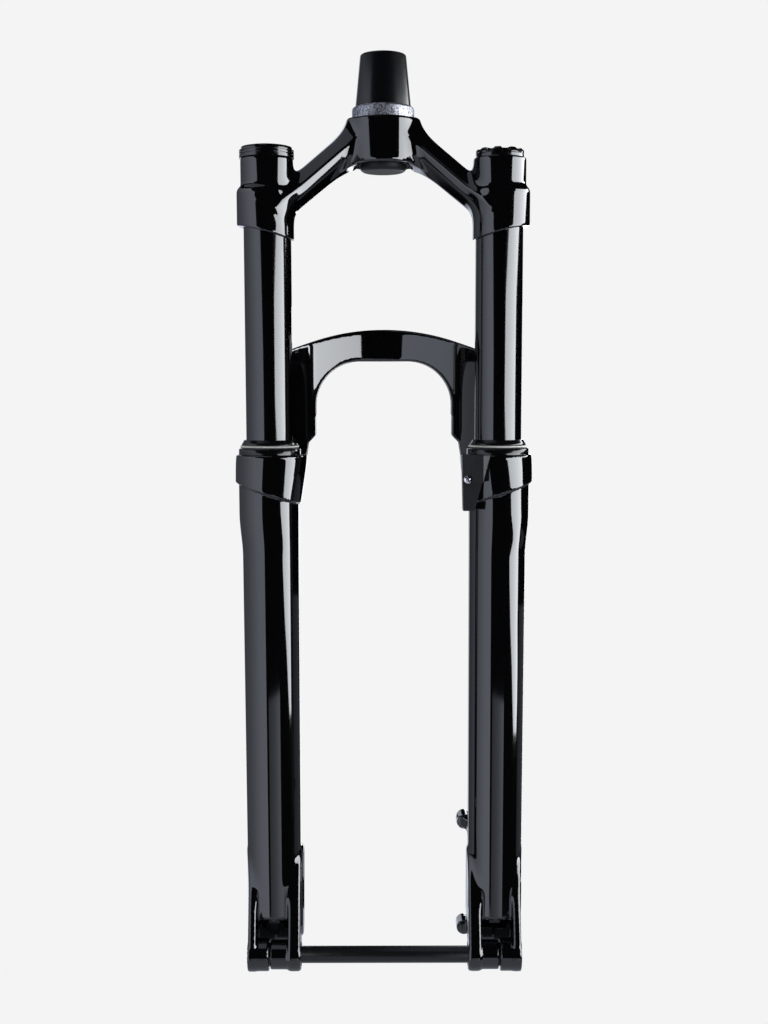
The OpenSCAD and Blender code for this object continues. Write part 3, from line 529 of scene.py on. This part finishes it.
def make_lip_spring(name, tree, side, steel):
    carrier = bpy.data.objects.new(name, bpy.data.meshes.new(name))
    bpy.context.scene.collection.objects.link(carrier)
    mod = carrier.modifiers.new("winding", "NODES")
    mod.node_group = tree
    values = {"Ring Radius": 18.0 * MM, "Winding Radius": 0.5 * MM, "Wire Radius": 0.27 * MM, "Turns": 200,
              "Centre": (side * LEG_X * MM, LEG_Y * MM, LIP_SPRING_Z * MM), "Finish": steel}
    for item in tree.interface.items_tree:
        if item.name in values:
            mod[item.identifier] = values[item.name]
    bpy.context.view_layer.update()
    grown = carrier.evaluated_get(bpy.context.evaluated_depsgraph_get())
    mesh = bpy.data.meshes.new_from_object(grown)
    carrier.modifiers.remove(mod)
    carrier.data = mesh
    return carrier


# Screw of the hose guide, with a slot across its low dome
def screw_form(x, y, z):
    slot_turn, slot_half, slot_depth, dome_r = 0.6, 0.42, 0.9, 4.6
    dx, dz = x - SCREW_X, z - SCREW_Z
    d = np.hypot(dx, dz)
    across = np.cos(slot_turn) * dx + np.sin(slot_turn) * dz
    dome = np.sqrt(dx * dx + dz * dz + (y - (SCREW_HEAD_TOP + dome_r)) ** 2) - dome_r
    head = keep(keep(d - SCREW_HEAD_R, y - SCREW_HEAD_LOW, 0.3), dome, 0.4)
    head = cut(head, np.maximum(np.abs(across) - slot_half, y - (SCREW_HEAD_TOP + slot_depth)), 0.15)
    shank = np.maximum(d - SCREW_SHANK_R, between(y, SCREW_HEAD_LOW - 1.0, SCREW_END))
    return np.minimum(head, shank)


def make_screw():
    h = 0.2 * GRID
    return piece("guide_screw", *skin(
        screw_form, steps(49.4, (55.8, h)), steps(-52.4, (-46.0, h), (-33.0, 0.5)), steps(-230.5, (-224.1, h))))


# Finishes
def finish(name, colour, rough, metal=0.0, ior=1.5, grain=0.0, peel=0.0, peel_size=3.0):
    """Plain coated or bare surface. Grain varies the roughness, peel ripples the coat; peel_size is in mm."""
    mat = bpy.data.materials.new(name)
    mat.use_nodes = True
    nodes, links = mat.node_tree.nodes, mat.node_tree.links
    shader = nodes["Principled BSDF"]
    shader.inputs["Base Color"].default_value = (*colour, 1.0)
    shader.inputs["Roughness"].default_value = rough
    shader.inputs["Metallic"].default_value = metal
    shader.inputs["IOR"].default_value = ior
    where = nodes.new("ShaderNodeTexCoord")
    if grain:
        speck = nodes.new("ShaderNodeTexNoise")
        speck.inputs["Scale"].default_value = 260.0
        speck.inputs["Detail"].default_value = 3.0
        links.new(where.outputs["Object"], speck.inputs["Vector"])
        spread = nodes.new("ShaderNodeMapRange")
        spread.inputs["To Min"].default_value = rough * (1.0 - grain)
        spread.inputs["To Max"].default_value = rough * (1.0 + grain)
        links.new(speck.outputs["Fac"], spread.inputs["Value"])
        links.new(spread.outputs["Result"], shader.inputs["Roughness"])
    if peel:
        ripple = nodes.new("ShaderNodeTexNoise")
        ripple.inputs["Scale"].default_value = 1.0 / (peel_size * MM)
        ripple.inputs["Detail"].default_value = 1.0
        links.new(where.outputs["Object"], ripple.inputs["Vector"])
        bump = nodes.new("ShaderNodeBump")
        bump.inputs["Strength"].default_value = peel
        bump.inputs["Distance"].default_value = 0.1 * MM
        links.new(ripple.outputs["Fac"], bump.inputs["Height"])
        links.new(bump.outputs["Normal"], shader.inputs["Normal"])
    return mat


def blasted_metal(name):
    """Rough bare metal whose grains catch the light one by one."""
    mat = bpy.data.materials.new(name)
    mat.use_nodes = True
    nodes, links = mat.node_tree.nodes, mat.node_tree.links
    shader = nodes["Principled BSDF"]
    shader.inputs["Metallic"].default_value = 0.9
    shader.inputs["Roughness"].default_value = 0.42
    where = nodes.new("ShaderNodeTexCoord")
    grains = nodes.new("ShaderNodeTexVoronoi")
    grains.inputs["Scale"].default_value = 1500.0
    links.new(where.outputs["Object"], grains.inputs["Vector"])
    shade = nodes.new("ShaderNodeSeparateColor")
    links.new(grains.outputs["Color"], shade.inputs["Color"])
    tone = nodes.new("ShaderNodeValToRGB")
    tone.color_ramp.elements[0].color = (0.05, 0.05, 0.06, 1.0)
    tone.color_ramp.elements[1].color = (0.62, 0.63, 0.70, 1.0)
    links.new(shade.outputs["Red"], tone.inputs["Fac"])
    links.new(tone.outputs["Color"], shader.inputs["Base Color"])
    bump = nodes.new("ShaderNodeBump")
    bump.inputs["Strength"].default_value = 0.7
    bump.inputs["Distance"].default_value = 0.3 * MM
    links.new(shade.outputs["Green"], bump.inputs["Height"])
    links.new(bump.outputs["Normal"], shader.inputs["Normal"])
    return mat


FINISHES = {
    "gloss_black": finish("gloss_black_paint", (0.0035, 0.0036, 0.0045), 0.05, ior=1.75, grain=0.2, peel=0.01),
    "gloss_black_tube": finish("gloss_black_tube", (0.003, 0.003, 0.004), 0.08, ior=1.75, grain=0.15),
    "satin_black": finish("satin_black_tube", (0.0035, 0.004, 0.007), 0.24, grain=0.15),
    "cap_black": finish("cap_black", (0.004, 0.004, 0.005), 0.12, ior=1.7, grain=0.15),
    "axle_black": finish("axle_satin_black", (0.007, 0.0075, 0.010), 0.30, grain=0.15),
    "black_plastic": finish("guide_black_plastic", (0.009, 0.0095, 0.013), 0.5, ior=1.42, grain=0.2,
                            peel=0.05, peel_size=0.6),
    "seal_rubber": finish("seal_black_rubber", (0.005, 0.005, 0.006), 0.16, grain=0.1),
    "steel": finish("bright_steel", (0.72, 0.72, 0.74), 0.22, metal=1.0, grain=0.2),
    "dark_steel": finish("dark_bolt_steel", (0.05, 0.05, 0.055), 0.32, metal=0.8, grain=0.2),
    "bare_aluminium": finish("bare_aluminium", (0.55, 0.56, 0.58), 0.32, metal=1.0, grain=0.2),
    "brass": finish("valve_brass", (0.62, 0.44, 0.17), 0.3, metal=1.0, grain=0.2),
    "bushing": finish("bushing_bronze", (0.22, 0.16, 0.08), 0.5, metal=0.6, grain=0.2),
    "foam": finish("oil_foam", (0.08, 0.08, 0.085), 0.9, grain=0.1),
}
RACE_FINISH = blasted_metal("blasted_race_metal")
SPRING_FINISH = finish("pale_spring_steel", (0.85, 0.84, 0.80), 0.35, metal=0.4, grain=0.1)

# Pieces on their bodies, with the nodes that they stand for
crown = make_crown()
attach(crown, "upper")
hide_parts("crown")
casting = make_casting()
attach(casting, "lowers")
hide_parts("lower_casting")
steerer = make_steerer()
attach(steerer, "upper")
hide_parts("steerer_tube")
race = make_race_seat()
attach(race, "upper")
screw = make_screw()
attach(screw, "lowers")
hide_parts("hose_guide_screw")
winding = spring_tree()
springs = [make_lip_spring(n, winding, s, SPRING_FINISH)
           for n, s in (("damper_lip_spring", -1), ("air_lip_spring", 1))]
for spring in springs:
    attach(spring, "lowers")
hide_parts("seal_springs")
for obj, slot in ((crown, "gloss_black"), (casting, "gloss_black"), (steerer, "satin_black"), (screw, "steel")):
    obj.data.materials.append(FINISHES[slot])
race.data.materials.append(RACE_FINISH)
for part in frame["record"]["subparts"]:
    obj = frame["nodes"][part["node"]]
    obj.data.materials.clear()
    obj.data.materials.append(FINISHES[part["material_slot"]])
    weld = obj.modifiers.new("weld", "WELD")
    weld.merge_threshold = 0.002 * MM

# Studio: a pale floor and surround, a white strip on the right, a grey card on the left, black flags between.
# Its places are in metres.
PALE, FLOOR_GLOW = 0.905, 0.924
FLOOR_Z, FLOOR_HALF, CEILING_Z = -1.2, 6.0, 1.2
CARD_R, FLAG_R = 1.6, 1.75


def surround(nodes, links, strength_else):
    """Share of pale light that the camera and mirror-like surfaces see, and what others get."""
    rays = nodes.new("ShaderNodeLightPath")
    seen = nodes.new("ShaderNodeMath")
    seen.operation = "MAXIMUM"
    links.new(rays.outputs["Is Camera Ray"], seen.inputs[0])
    links.new(rays.outputs["Is Glossy Ray"], seen.inputs[1])
    also = nodes.new("ShaderNodeMath")
    also.operation = "MAXIMUM"
    links.new(seen.outputs[0], also.inputs[0])
    links.new(rays.outputs["Is Transmission Ray"], also.inputs[1])
    level = nodes.new("ShaderNodeMapRange")
    level.inputs["To Min"].default_value = strength_else
    level.inputs["To Max"].default_value = 1.0
    links.new(also.outputs[0], level.inputs["Value"])
    return level.outputs["Result"]


def card_finish(name, colour):
    """Glow whose level is stored on the card's own points."""
    mat = bpy.data.materials.new(name)
    mat.use_nodes = True
    nodes, links = mat.node_tree.nodes, mat.node_tree.links
    nodes.remove(nodes["Principled BSDF"])
    glow = nodes.new("ShaderNodeEmission")
    glow.inputs["Color"].default_value = (*colour, 1.0)
    level = nodes.new("ShaderNodeAttribute")
    level.attribute_name = "level"
    links.new(level.outputs["Fac"], glow.inputs["Strength"])
    links.new(glow.outputs[0], nodes["Material Output"].inputs["Surface"])
    return mat


def floor_finish():
    mat = bpy.data.materials.new("pale_floor")
    mat.use_nodes = True
    nodes, links = mat.node_tree.nodes, mat.node_tree.links
    nodes.remove(nodes["Principled BSDF"])
    plain = nodes.new("ShaderNodeBsdfDiffuse")
    plain.inputs["Color"].default_value = (PALE, PALE, PALE, 1.0)
    glow = nodes.new("ShaderNodeEmission")
    glow.inputs["Color"].default_value = (FLOOR_GLOW, FLOOR_GLOW, FLOOR_GLOW, 1.0)
    links.new(surround(nodes, links, 0.3), glow.inputs["Strength"])
    mix = nodes.new("ShaderNodeMixShader")
    mix.inputs["Fac"].default_value = 0.95
    links.new(plain.outputs[0], mix.inputs[1])
    links.new(glow.outputs[0], mix.inputs[2])
    links.new(mix.outputs[0], nodes["Material Output"].inputs["Surface"])
    return mat


def level_quad(name, low, high, z):
    """Level piece between two corners."""
    corners = [(low[0], low[1]), (high[0], low[1]), (high[0], high[1]), (low[0], high[1])]
    return piece(name, [(x / MM, y / MM, z / MM) for x, y in corners], [(0, 1, 2, 3)])


def hang(obj, glow, card_mat):
    """Cards show in reflections only."""
    obj.data.attributes.new("level", "FLOAT", "POINT").data.foreach_set("value", glow)
    obj.data.materials.append(card_mat)
    obj.visible_camera = False
    obj.visible_diffuse = False
    obj.visible_shadow = False


def flat_card(name, low, high, z, level, card_mat):
    hang(level_quad(name, low, high, z), [level] * 4, card_mat)


def card(name, rows, levels, card_mat, radius=CARD_R):
    """Upright curved card round the fork. A row is (height, first azimuth, last azimuth), and azimuths run from
    the front to +X. Levels are the card's glow at even steps from its first edge to its last."""
    across = 32
    verts, faces, glow = [], [], []
    share = np.linspace(0.0, 1.0, across + 1)
    for z, first, last in rows:
        for t in share:
            a = math.radians(first + t * (last - first))
            verts.append((radius / MM * math.sin(a), -radius / MM * math.cos(a), z / MM))
        glow += list(np.interp(share, np.linspace(0.0, 1.0, len(levels)), levels))
    for i in range(len(rows) - 1):
        for j in range(across):
            a = i * (across + 1) + j
            faces.append((a, a + 1, a + across + 2, a + across + 1))
    hang(piece(name, verts, faces), glow, card_mat)


world = bpy.data.worlds.new("pale_studio")
bpy.context.scene.world = world
world.use_nodes = True
air = world.node_tree.nodes["Background"]
air.inputs["Color"].default_value = (PALE, PALE, PALE, 1.0)
world.node_tree.links.new(surround(world.node_tree.nodes, world.node_tree.links, 0.6), air.inputs["Strength"])

WHITE = card_finish("white_strip", (0.93, 0.96, 1.0))
SLATE = card_finish("slate_card", (0.80, 0.86, 1.0))
BLACK = card_finish("black_flag", (0.0, 0.0, 0.0))
floor = level_quad("floor", (-FLOOR_HALF, -FLOOR_HALF), (FLOOR_HALF, FLOOR_HALF), FLOOR_Z)
floor.data.materials.append(floor_finish())
flat_card("flag_above", (-1.8, -1.8), (1.8, 1.8), CEILING_Z, 0.0, BLACK)
flat_card("slate_below", (-1.7, -1.7), (1.7, 1.7), FLOOR_Z + 0.02, 0.55, SLATE)
flat_card("slate_above", (-1.3, -0.9), (-0.05, 0.9), CEILING_Z - 0.02, 0.45, SLATE)
card("flag_round", [(FLOOR_Z, -180, 180), (CEILING_Z, -180, 180)], [0.0, 0.0], BLACK, radius=FLAG_R)
card("white_strip", [(-0.775, 76, 92), (-0.72, 71, 95), (-0.65, 65, 95), (-0.585, 57, 92), (-0.5, 51, 92),
                     (-0.4, 48, 92), (-0.33, 44, 88), (-0.19, 30, 86), (-0.01, 31, 88), (0.12, 46, 105),
                     (0.24, 54, 130), (0.5, 56, 135)], [6.0, 7.5, 9.0], WHITE)
card("slate_card", [(FLOOR_Z, -150, -22), (-0.1, -150, -25), (0.1, -150, -32), (0.3, -150, -50), (0.8, -150, -58)],
     [0.1, 0.25, 0.5, 0.9, 1.3, 1.4], SLATE)
card("low_card", [(FLOOR_Z, -15, 32), (-0.72, -15, 32)], [0.35, 0.6, 1.1], SLATE)
card("back_strip", [(-1.08, 164, 174), (-0.02, 164, 174)], [1.0, 5.0, 5.0, 1.0], WHITE)
card("back_slate", [(FLOOR_Z, 186, 206), (0.9, 186, 206)], [0.9, 1.6, 0.6], SLATE)
card("far_card", [(FLOOR_Z, 100, 148), (-0.55, 100, 148)], [0.15, 0.15], SLATE)

# Camera at the photograph's viewing angle. Its focal length and shifts are in pixels of the photograph.
PHOTO_H, FOCAL, SHIFT_X, SHIFT_Y = 1024.0, 1380.0, 0.4, 48.0
CAMERA_PLACE = (0.0, -0.912, -0.1735)
CAMERA_DIP, CAMERA_ROLL = 6.9, 0.1
eye = bpy.data.cameras.new("camera")
eye.sensor_fit = "VERTICAL"
eye.sensor_height = 36.0
eye.lens = FOCAL * eye.sensor_height / PHOTO_H
eye.shift_x = SHIFT_X / PHOTO_H
eye.shift_y = SHIFT_Y / PHOTO_H
camera = bpy.data.objects.new("camera", eye)
camera.location = CAMERA_PLACE
camera.rotation_euler = (math.radians(90.0 - CAMERA_DIP), math.radians(CAMERA_ROLL), 0.0)
bpy.context.scene.collection.objects.link(camera)
bpy.context.scene.camera = camera
bpy.context.scene.view_settings.view_transform = "Standard"
